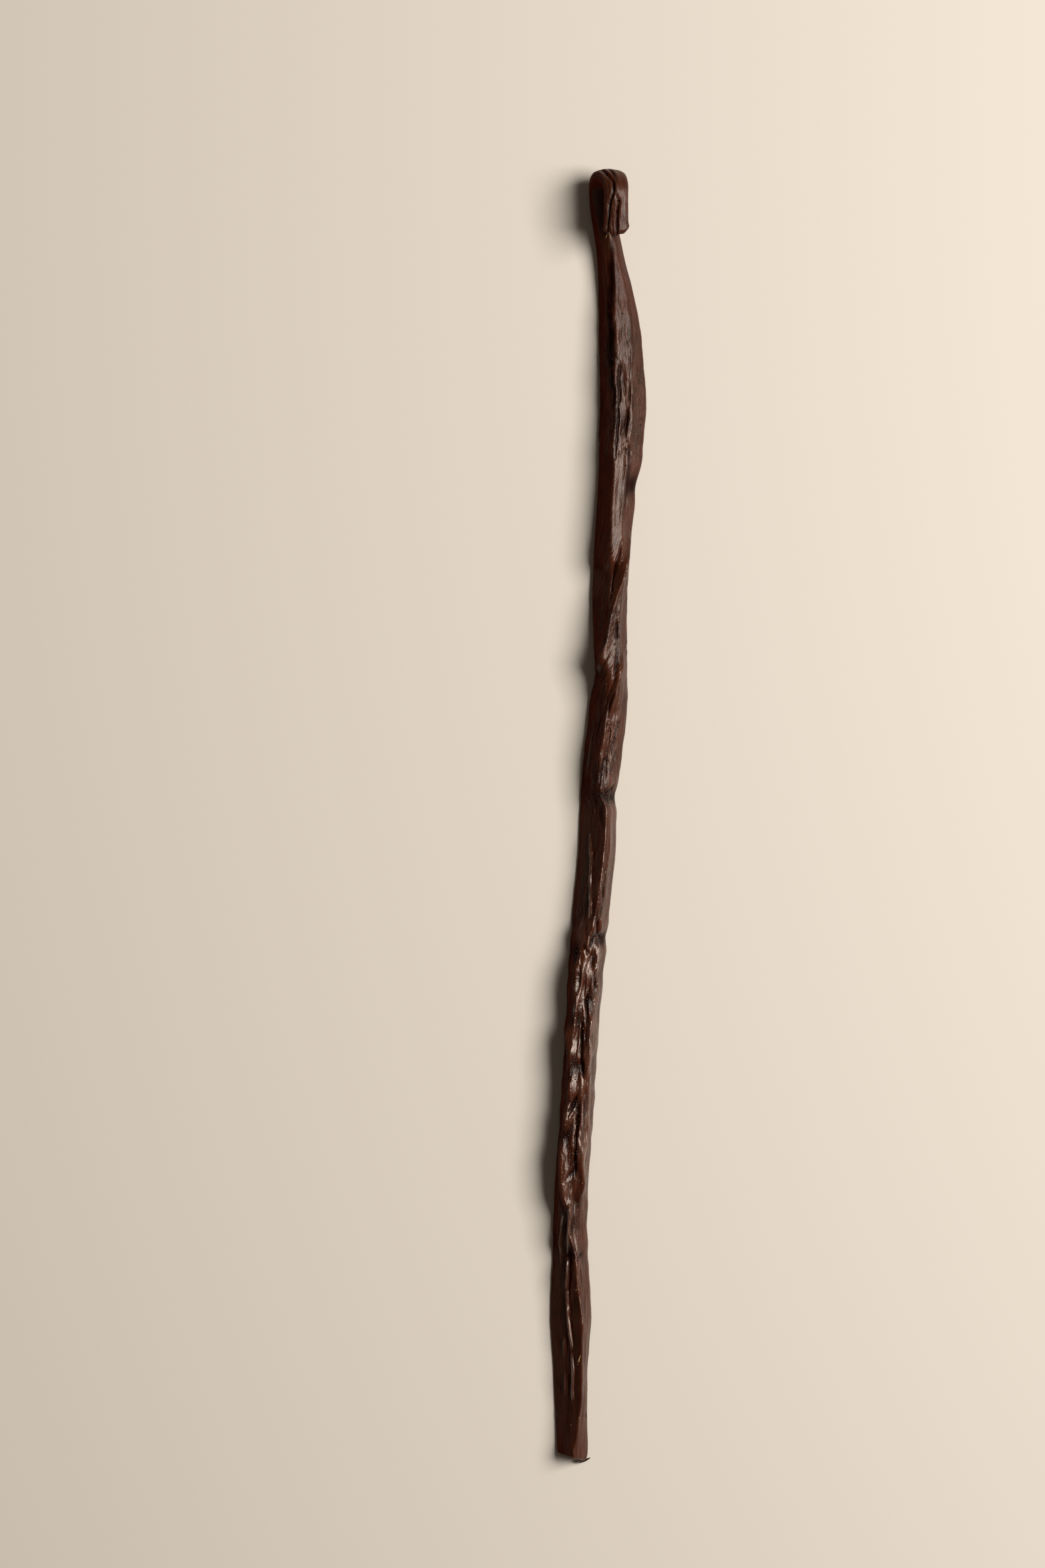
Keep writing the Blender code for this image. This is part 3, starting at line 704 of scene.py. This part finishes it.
podSkinFinish = {
    # by relief: the first colour is painted shade deep in the grooves, the second the skin's own, the third
    # wear with a painted sheen on the ridges
    "deep": (0.011, 0.0020, 0.0007),
    "skin": (0.054, 0.0125, 0.0046),
    "wornAndSheen": (0.088, 0.036, 0.021),
    "reliefMarks": (0.24, 0.52, 0.85),  # relief at which each of these three is reached
    "shadeTint": (1.62, 0.92, 0.60),  # painted shade: a red tint on the skin where it faces away from the light and shines least
    "shadeTintFade": 3.0,  # the tint is gone where the shine is one over this
    "roughness": 0.45,
    "wetRoughness": 0.22,
    "roughPatches": {"scale": 1.6, "stretch": 0.35, "amount": 0.30},
    "shine": 0.29,
    "shineTint": (1.0, 0.84, 0.74),
    "oil": 0.12,
    "oilRoughness": 0.17,
    "streaks": {
        "scale": 1.1,
        "stretch": 0.10,
        "dark": (0.32, (0.78, 0.74, 0.72)),
        "light": (0.72, (1.18, 1.16, 1.14)),
    },
    # the finest wrinkles: cells of the grain, the dark lines between them that paint shade into the fine
    # creases, how far they sway, and how much colour is left in the lines where they are faint and where they
    # are dark
    "fineCells": {"scale": 2.6, "stretch": 0.10, "lineWidth": 0.22},
    "fineSway": {"scale": 0.8, "detail": 2.0, "reach": (0.7, 0.7, 0.9)},
    "linePatches": {"scale": 0.7, "stretch": 0.4, "detail": 2.0, "from": 0.44, "to": 0.62},
    "faintLineShade": 0.92,
    "lineShade": 0.45,
    # bumps: strength and depth in metres, then scale, stretch and detail of the noise
    "wrinkles": (0.36, 0.00010),
    "striations": (0.22, 0.00012, 5.0, 0.06, 4.0),
    "pores": (0.44, 0.00010, 6.0, 0.6, 5.0),
}


def node(tree, kind, **values):
    # a new node with its settings
    made = tree.nodes.new(kind)
    for name, value in values.items():
        setattr(made, name, value)
    return made


def podSkinMaterial():
    # colour: by relief (painted shade in the grooves, wear and a painted sheen on the ridges), times long
    # streaks, times a painted shade tint where the skin faces from the light, times the fine lines' painted
    # shade;
    # roughness: from dry to wet, with patches; shine and oil: the shine attribute times a weight
    finish = podSkinFinish
    material = bpy.data.materials.new("curedPodSkin")
    material.use_nodes = True
    tree = material.node_tree
    tree.nodes.clear()
    link = tree.links.new
    out = node(tree, "ShaderNodeOutputMaterial")
    shader = node(tree, "ShaderNodeBsdfPrincipled")
    link(shader.outputs["BSDF"], out.inputs["Surface"])
    shader.inputs["Coat Roughness"].default_value = finish["oilRoughness"]
    shader.inputs["Specular Tint"].default_value = (*finish["shineTint"], 1)

    grain = node(tree, "ShaderNodeAttribute", attribute_name="grain")
    relief = node(tree, "ShaderNodeAttribute", attribute_name="relief")
    fine = node(tree, "ShaderNodeAttribute", attribute_name="fineLines")
    gloss = node(tree, "ShaderNodeAttribute", attribute_name="shine")

    def times(source, amount):
        # an attribute times a number
        made = node(tree, "ShaderNodeMath", operation="MULTIPLY")
        made.inputs[1].default_value = amount
        link(source.outputs["Fac"], made.inputs[0])
        return made.outputs["Value"]

    link(times(gloss, finish["oil"]), shader.inputs["Coat Weight"])
    link(times(gloss, finish["shine"]), shader.inputs["Specular IOR Level"])

    def noise(scale, stretch, detail=3.0, rough=0.55):
        # noise along the grain: a stretch below 1 makes it longer that way
        squeeze = node(tree, "ShaderNodeMapping")
        squeeze.inputs["Scale"].default_value = (1, 1, stretch)
        link(grain.outputs["Vector"], squeeze.inputs["Vector"])
        made = node(tree, "ShaderNodeTexNoise")
        made.inputs["Scale"].default_value = scale
        made.inputs["Detail"].default_value = detail
        made.inputs["Roughness"].default_value = rough
        link(squeeze.outputs["Vector"], made.inputs["Vector"])
        return made.outputs["Fac"]

    def ramp(source, stops):
        # colours between stops, each a place and a colour
        made = node(tree, "ShaderNodeValToRGB")
        marks = made.color_ramp.elements
        for k, (place, colour) in enumerate(stops):
            mark = marks[k] if k < 2 else marks.new(place)
            mark.position = place
            mark.color = (*colour, 1)
        link(source, made.inputs["Fac"])
        return made.outputs["Color"]

    def mix(a, b, factor, kind="MIX"):
        # a towards b by the factor; each is a link or a plain value
        made = node(tree, "ShaderNodeMix", data_type="RGBA", blend_type=kind)
        for source, socket in ((a, made.inputs[6]), (b, made.inputs[7]), (factor, made.inputs[0])):
            if hasattr(source, "links"):
                link(source, socket)
            else:
                socket.default_value = source
        return made.outputs[2]

    # the finest wrinkles: painted shade as dark lines between stretched cells
    fineCells, fineSway = finish["fineCells"], finish["fineSway"]
    sway = node(tree, "ShaderNodeVectorMath", operation="MULTIPLY_ADD")
    wander = node(tree, "ShaderNodeTexNoise")
    wander.inputs["Scale"].default_value = fineSway["scale"]
    wander.inputs["Detail"].default_value = fineSway["detail"]
    link(grain.outputs["Vector"], wander.inputs["Vector"])
    sway.inputs[1].default_value = fineSway["reach"]
    link(wander.outputs["Color"], sway.inputs[0])
    link(grain.outputs["Vector"], sway.inputs[2])
    squeeze = node(tree, "ShaderNodeMapping")
    squeeze.inputs["Scale"].default_value = (1, 1, fineCells["stretch"])
    link(sway.outputs["Vector"], squeeze.inputs["Vector"])
    cells = node(tree, "ShaderNodeTexVoronoi", feature="DISTANCE_TO_EDGE")
    cells.inputs["Scale"].default_value = fineCells["scale"]
    link(squeeze.outputs["Vector"], cells.inputs["Vector"])
    between = node(tree, "ShaderNodeMapRange", interpolation_type="SMOOTHSTEP")
    between.inputs["From Max"].default_value = fineCells["lineWidth"]
    link(cells.outputs["Distance"], between.inputs["Value"])

    # painted shade: near black deep in the grooves; skin between; wear and a painted sheen on the ridges;
    # with long streaks over it
    colours = (finish["deep"], finish["skin"], finish["wornAndSheen"])
    base = ramp(relief.outputs["Fac"], tuple(zip(finish["reliefMarks"], colours)))
    streaks = finish["streaks"]
    streakTint = ramp(noise(streaks["scale"], streaks["stretch"]), (streaks["dark"], streaks["light"]))
    streaked = mix(base, streakTint, 1.0, "MULTIPLY")
    # painted shade: the colour is tinted red where the shine is low, on faces turned away from the light
    side = mix((*finish["shadeTint"], 1), (1.0, 1.0, 1.0, 1), times(gloss, finish["shadeTintFade"]))
    colour = mix(streaked, side, 1.0, "MULTIPLY")
    spots = finish["linePatches"]
    patches = node(tree, "ShaderNodeMapRange", interpolation_type="SMOOTHSTEP")
    patches.inputs["From Min"].default_value = spots["from"]
    patches.inputs["From Max"].default_value = spots["to"]
    patches.inputs["To Min"].default_value = finish["faintLineShade"]
    patches.inputs["To Max"].default_value = finish["lineShade"]
    link(noise(spots["scale"], spots["stretch"], spots["detail"]), patches.inputs["Value"])
    faded = node(tree, "ShaderNodeMapRange")
    faded.inputs["To Min"].default_value = 1.0
    link(fine.outputs["Fac"], faded.inputs["Value"])
    link(patches.outputs["Result"], faded.inputs["To Max"])
    shade = node(tree, "ShaderNodeMapRange")
    link(faded.outputs["Result"], shade.inputs["To Min"])
    link(between.outputs["Result"], shade.inputs["Value"])
    # painted shade in the fine creases: the colour is darkened towards black along the lines
    lined = mix((0.0, 0.0, 0.0, 1), colour, shade.outputs["Result"])
    link(lined, shader.inputs["Base Color"])

    wet = node(tree, "ShaderNodeAttribute", attribute_name="wetness")
    dry = node(tree, "ShaderNodeMapRange")
    dry.inputs["To Min"].default_value = finish["roughness"]
    dry.inputs["To Max"].default_value = finish["wetRoughness"]
    link(wet.outputs["Fac"], dry.inputs["Value"])
    rough = finish["roughPatches"]
    patchy = node(tree, "ShaderNodeMath", operation="MULTIPLY_ADD")
    patchy.inputs[1].default_value = rough["amount"]
    link(noise(rough["scale"], rough["stretch"]), patchy.inputs[0])
    link(dry.outputs["Result"], patchy.inputs[2])
    settled = node(tree, "ShaderNodeMath", operation="SUBTRACT")
    settled.inputs[1].default_value = rough["amount"] / 2
    link(patchy.outputs["Value"], settled.inputs[0])
    link(settled.outputs["Value"], shader.inputs["Roughness"])

    def bump(height, strength, depth, before=None):
        # a height made a bump, on top of the one before, as strong as the fine lines are there
        made = node(tree, "ShaderNodeBump")
        link(times(fine, strength), made.inputs["Strength"])
        made.inputs["Distance"].default_value = depth
        link(height, made.inputs["Height"])
        if before:
            link(before.outputs["Normal"], made.inputs["Normal"])
        return made

    last = bump(between.outputs["Result"], *finish["wrinkles"])
    for kind in ("striations", "pores"):
        strength, depth, *grainSize = finish[kind]
        last = bump(noise(*grainSize), strength, depth, last)
    link(last.outputs["Normal"], shader.inputs["Normal"])
    return material


def addField(mesh, name, values):
    # a number or a vector for every point, which the material reads by name
    kind = "FLOAT_VECTOR" if values.ndim == 2 else "FLOAT"
    field = mesh.attributes.new(name, kind, "POINT")
    field.data.foreach_set("vector" if values.ndim == 2 else "value", values.astype(np.float32).ravel())


def buildPodSkin():
    # the rings, with a middle point sunk into the cut end and one at the tip; grain: the point's
    # place on a straight round rod, so that patterns follow the skin
    points, along, angles, height, relief, fields = podSurface()
    rows, cols = points.shape[:2]
    sunk = np.array((0, podShape["cutSink"], 0))
    ends = np.stack((points[0].mean(0) + sunk, points[-1].mean(0)))
    allPoints = np.concatenate((points.reshape(-1, 3), ends))
    piece = makeMesh("podSkin", allPoints, tubeFaces(rows, cols), podSkinMaterial())

    rod, endValue = 2.4, 0.3  # the rod's radius, and what both middle points get
    alongGrid = np.broadcast_to(along, (rows, cols))
    around = np.broadcast_to(angles, (rows, cols))
    grain = np.stack((rod * np.cos(around), rod * np.sin(around), alongGrid), -1).reshape(-1, 3)
    grain = np.concatenate((grain, [[0, 0, 0], [0, 0, along[-1, 0]]]))
    depth = np.clip(0.5 + relief / 0.9, 0, 1)  # 0 at 0.45 mm deep, 1 at 0.45 mm high
    addField(piece.data, "grain", grain)
    for name, values in {"relief": depth, **fields}.items():
        addField(piece.data, name, np.append(values, (endValue, endValue)))
    print("pod skin:", rows, "rings of", cols, "points")
    return piece, points, height[:, 0], relief


podSkin, skinPoints, skinHeight, skinRelief = buildPodSkin()
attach(podSkin, "root")
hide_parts("pod")

# seeds, a flake and fibres lying on the skin

seedLook = {
    "colour": (0.006, 0.004, 0.003),
    "roughness": 0.34,
    "length": (0.20, 0.34),  # millimetres
    "slimness": 0.72,  # width as a share of the length, and height as a share of the width
    "flatness": 0.85,
    "sunk": 0.03,
    "unevenness": 0.3,  # of the steps in a row, and how far seeds stray from it
    "straying": 0.03,
    "scattered": 130,
    "highest": 0.87,  # none is scattered above this height
    "everywhere": 0.05,  # chance that is left where the skin has no lumps
    "seed": 17,
    # rows of seeds: height and place across at both ends, how many
    "rows": (
        (0.645, 0.35, 0.602, 0.17, 9), (0.574, 0.62, 0.551, 0.36, 9), (0.551, 0.61, 0.534, 0.57, 4),
        (0.560, 0.30, 0.530, 0.05, 5), (0.4360, 0.59, 0.4240, 0.58, 5), (0.452, 0.45, 0.440, 0.50, 3),
        (0.308, -0.15, 0.295, -0.20, 6), (0.250, 0.00, 0.240, 0.10, 4), (0.223, 0.05, 0.229, 0.20, 3),
        (0.210, 0.00, 0.190, 0.00, 4), (0.848, 0.62, 0.818, 0.82, 4), (0.825, -0.24, 0.790, -0.28, 5),
        (0.805, 0.10, 0.780, 0.35, 4), (0.784, 0.50, 0.780, 0.86, 3), (0.775, 0.30, 0.765, 0.40, 2),
        (0.392, 0.35, 0.380, 0.55, 4), (0.345, 0.20, 0.338, 0.30, 2), (0.366, 0.55, 0.352, 0.70, 3),
        (0.041, -0.99, 0.034, -0.99, 2), (0.042, 0.98, 0.036, 0.99, 2), (0.900, 0.20, 0.870, 0.25, 2),
    ),
}

bitsLook = {
    "flake": {
        "path": (
            (-2.95, -84.85, 0.75), (-2.55, -84.92, 0.62), (-2.10, -84.84, 0.58),
            (-1.65, -84.68, 0.66), (-1.10, -84.35, 0.92),
        ),
        "width": 0.36,
        "thick": 0.07,
        "colour": (0.035, 0.014, 0.008),
    },
    # fibres: where each starts and ends, across and along, its width, and its rise above the skin
    "fibres": (
        (-2.40, -70.6, -2.75, -71.5, 0.09, 0.10),
        (-2.50, -70.9, -2.60, -71.6, 0.06, 0.16),
        (1.30, 76.1, 1.55, 75.1, 0.07, 0.05),
        (1.05, 75.9, 0.85, 75.4, 0.05, 0.05),
    ),
    "fibreColour": (0.36, 0.22, 0.09),
    "fibreArch": 0.06,
    "strawRoughness": 0.5,
    "specks": 26,
    "placedSpecks": ((-0.2, 83.7), (-4.1, -26.0), (-4.4, -40.5)),  # across and along
    "speckSize": (0.10, 0.19),
    "speckColour": (0.30, 0.15, 0.06),
    "speckRoughness": 0.6,
    "seed": 23,
}

mottling = {"scale": 3000, "dark": 0.6, "light": 1.4}


def plainMaterial(name, colour, roughness):
    # one colour, mottled between a darker and a lighter share of it by fine noise
    material = bpy.data.materials.new(name)
    material.use_nodes = True
    shader = material.node_tree.nodes["Principled BSDF"]
    tree = material.node_tree
    place = node(tree, "ShaderNodeTexCoord")
    mottle = node(tree, "ShaderNodeTexNoise")
    mottle.inputs["Scale"].default_value = mottling["scale"]
    link = tree.links.new
    link(place.outputs["Object"], mottle.inputs["Vector"])
    tint = node(tree, "ShaderNodeValToRGB")
    for mark, share in zip(tint.color_ramp.elements, (mottling["dark"], mottling["light"])):
        mark.color = (*(c * share for c in colour), 1)
    link(mottle.outputs["Fac"], tint.inputs["Fac"])
    link(tint.outputs["Color"], shader.inputs["Base Color"])
    shader.inputs["Roughness"].default_value = roughness
    return material


def skinTop(x, y):
    # the highest skin point near each place seen from above: height less 20 times the distance
    # past 0.12 mm has to be the most
    flat = skinPoints.reshape(-1, 3)
    away = np.hypot(flat[:, 0] - x[:, None], flat[:, 1] - y[:, None])
    score = flat[:, 2] - 20 * np.clip(away - 0.12, 0, None)
    return flat[score.argmax(1)]


def placeOnSkin(height, across):
    # turn a height and a place across into a point on top of the skin: the nearest ring, then the
    # middle of its width plus that share of half its width
    rings = np.abs(skinHeight[None, :] - height[:, None]).argmin(1)
    ring = skinPoints[rings]
    left, right = ring[..., 0].min(1), ring[..., 0].max(1)
    x = (left + right) / 2 + across * (right - left) / 2
    return skinTop(x, ring[..., 1].mean(1))


def smallBalls(name, centres, sizes, material, rng):
    # each one a ball of five rings of eight points, stretched, tilted, turned and set in place
    rings, sides = 5, 8
    turn = np.linspace(0, 2 * np.pi, sides, endpoint=False)
    rise = np.linspace(-0.5, 0.5, rings + 2)[1:-1, None, None] * np.pi
    ring = np.stack((np.cos(turn), np.sin(turn), np.zeros(sides)), -1)
    ball = ring[None] * np.cos(rise) + np.array((0, 0, 1)) * np.sin(rise)
    ball = np.concatenate((ball.reshape(-1, 3), ((0, 0, -1), (0, 0, 1))))
    count = len(centres)
    yaw = rng.normal(np.pi / 2, 0.5, count)[:, None]
    tilt = rng.uniform(-0.4, 0.4, count)[:, None]
    ones = ball[None] * sizes[:, None, :] / 2
    x = ones[..., 0] * np.cos(tilt) - ones[..., 2] * np.sin(tilt)
    z = ones[..., 0] * np.sin(tilt) + ones[..., 2] * np.cos(tilt)
    turnedX = x * np.cos(yaw) - ones[..., 1] * np.sin(yaw)
    turnedY = x * np.sin(yaw) + ones[..., 1] * np.cos(yaw)
    turned = np.stack((turnedX, turnedY, z), -1)
    points = (turned + centres[:, None]).reshape(-1, 3)
    faceGroups = [repeated(faces, count, len(ball)) for faces in tubeFaces(rings, sides)]
    print(name + ":", count, "pieces")
    return makeMesh(name, points, faceGroups, material)


def buildSeeds():
    # seeds evenly along each row, a little astray, and the rest where the chance falls: the square
    # of the groove's depth times the square of the lumps' strength
    look = seedLook
    rng = np.random.default_rng(look["seed"])
    height, across = [], []
    for h0, a0, h1, a1, count in look["rows"]:
        uneven = rng.uniform(-look["unevenness"], look["unevenness"], count)
        t = (np.arange(count) + uneven + 0.5) / count
        height.append(h0 + (h1 - h0) * t)
        across.append(a0 + (a1 - a0) * t + rng.normal(0, look["straying"], count))
    rows = placeOnSkin(np.concatenate(height), np.concatenate(across))
    flat, relief = skinPoints.reshape(-1, 3), skinRelief.ravel()
    heightOf = np.repeat(skinHeight, skinPoints.shape[1])
    middle = (skinPoints[..., 2].max(1) + skinPoints[..., 2].min(1)) / 2
    onTop = flat[:, 2] > np.repeat(middle, skinPoints.shape[1])
    chance = np.clip(-relief, 0, None) ** 2 * onTop * (heightOf < look["highest"])
    chance = chance * (look["everywhere"] + zoneStrength(heightOf, "lumps") ** 2)
    picked = rng.choice(len(flat), look["scattered"], replace=False, p=chance / chance.sum())
    centres = np.concatenate((rows, flat[picked]))
    long = rng.uniform(*look["length"], len(centres))
    sizes = np.stack((long, long * look["slimness"], long * look["slimness"] * look["flatness"]), -1)
    centres = centres - np.array((0, 0, look["sunk"]))
    material = plainMaterial("seedShell", look["colour"], look["roughness"])
    return smallBalls("seeds", centres, sizes, material, rng)


def sliver(path, width, thick):
    # flat ovals along a path, swelling from a point at each end: width * sin(pi share) ** 0.6
    rings, sides = 15, 8
    share = np.linspace(0, 1, rings)
    path = np.asarray(path)
    marks = np.linspace(0, 1, len(path))
    spine = np.stack([flow(marks, path[:, k], share) for k in range(3)], -1)
    ahead = np.gradient(spine, axis=0)
    ahead = ahead / np.linalg.norm(ahead, axis=1, keepdims=True)
    sideways = np.cross(ahead, (0, 0, 1))
    sideways = sideways / np.linalg.norm(sideways, axis=1, keepdims=True)
    above = np.cross(sideways, ahead)
    swell = np.sin(np.pi * np.clip(share, 0.02, 0.98))[:, None, None] ** 0.6
    turn = np.linspace(0, 2 * np.pi, sides, endpoint=False)[None, :, None]
    oval = sideways[:, None] * np.cos(turn) * width / 2 + above[:, None] * np.sin(turn) * thick / 2
    points = (spine[:, None] + oval * swell).reshape(-1, 3)
    points = np.concatenate((points, spine[:1], spine[-1:]))
    # its rings turn the other way round, so its faces are turned over
    return points, [faces[:, ::-1] for faces in tubeFaces(rings, sides)]


def buildFlake():
    # one sliver along the flake's path
    look = bitsLook["flake"]
    points, faceGroups = sliver(look["path"], look["width"], look["thick"])
    material = plainMaterial("dryFlake", look["colour"], bitsLook["strawRoughness"])
    print("tip flake: 1 piece")
    return makeMesh("tipFlake", points, faceGroups, material)


def buildFibres():
    # slivers between two places, at their skin's highest point plus a rise and half a sine's arch
    look = bitsLook
    pieces = []
    for x0, y0, x1, y1, width, rise in look["fibres"]:
        x, y = np.linspace(x0, x1, 4), np.linspace(y0, y1, 4)
        z = skinTop(x, y)[:, 2].max() + rise + look["fibreArch"] * np.sin(np.linspace(0, np.pi, 4))
        points, faceGroups = sliver(np.stack((x, y, z), -1), width, width * 0.6)
        pieces.append(points)
    faceGroups = [repeated(faces, len(pieces), len(points)) for faces in faceGroups]
    material = plainMaterial("tanFibre", look["fibreColour"], look["strawRoughness"])
    print("fibres:", len(pieces), "pieces")
    return makeMesh("fibres", np.concatenate(pieces), faceGroups, material)


def buildSpecks():
    # specks scattered evenly over the top, and a few set one by one
    look = bitsLook
    rng = np.random.default_rng(look["seed"])
    count = look["specks"]
    height = rng.uniform(0.02, 0.93, count)
    centres = placeOnSkin(height, rng.uniform(-0.7, 0.8, count))
    centres = np.concatenate((centres, skinTop(*np.array(look["placedSpecks"]).T)))
    size = rng.uniform(*look["speckSize"], len(centres))
    sizes = np.stack((size, size * 0.8, size * 0.6), -1)
    material = plainMaterial("tanSpeck", look["speckColour"], look["speckRoughness"])
    return smallBalls("tanSpecks", centres, sizes, material, rng)


for bit in (buildSeeds(), buildFlake(), buildFibres(), buildSpecks()):
    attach(bit, "root")


# studio: a plain pale floor, a broad soft light from the right, and a camera looking down; metres,
# where nothing else is said

studio = {
    "floorColour": (0.67, 0.62, 0.555),
    "floorRoughness": 0.7,
    "floorReach": 1500,  # millimetres, as the pieces
    "cameraHeight": 0.70,
    "frameTall": 206.4 * mm,
    "aim": (-10.0 * mm, 4.2 * mm),
    "keySize": 0.38,
    "keyPower": 7.6,
    "keyColour": (1.0, 0.95, 0.89),
    "keyFrom": (0.46, 0.12, 0.52),
    "fill": 0.08,
    "fillColour": (1.0, 0.84, 0.68),
    "sensor": 36,  # millimetres
}


def floorMaterial():
    # one plain colour
    material = bpy.data.materials.new("paleFloor")
    material.use_nodes = True
    shader = material.node_tree.nodes["Principled BSDF"]
    shader.inputs["Base Color"].default_value = (*studio["floorColour"], 1)
    shader.inputs["Roughness"].default_value = studio["floorRoughness"]
    return material


def buildStudio():
    # the lens: sensor * camera height / frame height, so that the frame is as tall at the floor
    corners = studio["floorReach"] * np.array(((-1, -1, 0), (1, -1, 0), (1, 1, 0), (-1, 1, 0)))
    floor = makeMesh("floor", corners, [np.array([[0, 1, 2, 3]])], floorMaterial())

    key = bpy.data.lights.new("keyLight", "AREA")
    key.shape = "SQUARE"
    key.size = studio["keySize"]
    key.energy = studio["keyPower"]
    key.color = studio["keyColour"]
    keyObject = bpy.data.objects.new("keyLight", key)
    keyObject.location = studio["keyFrom"]
    keyObject.rotation_euler = (-Vector(studio["keyFrom"])).to_track_quat("-Z", "Y").to_euler()
    bpy.context.scene.collection.objects.link(keyObject)

    world = bpy.data.worlds.new("studioWorld")
    world.use_nodes = True
    sky = world.node_tree.nodes["Background"]
    sky.inputs["Color"].default_value = (*studio["fillColour"], 1)
    sky.inputs["Strength"].default_value = studio["fill"]
    bpy.context.scene.world = world
    bpy.context.scene.view_settings.view_transform = "Standard"

    lens = bpy.data.cameras.new("camera")
    lens.sensor_width = studio["sensor"]
    lens.lens = studio["sensor"] * studio["cameraHeight"] / studio["frameTall"]
    lens.clip_start = 0.01
    lens.clip_end = 10
    camera = bpy.data.objects.new("camera", lens)
    camera.location = (*studio["aim"], studio["cameraHeight"])
    bpy.context.scene.collection.objects.link(camera)
    bpy.context.scene.camera = camera


buildStudio()
print("studio ready")
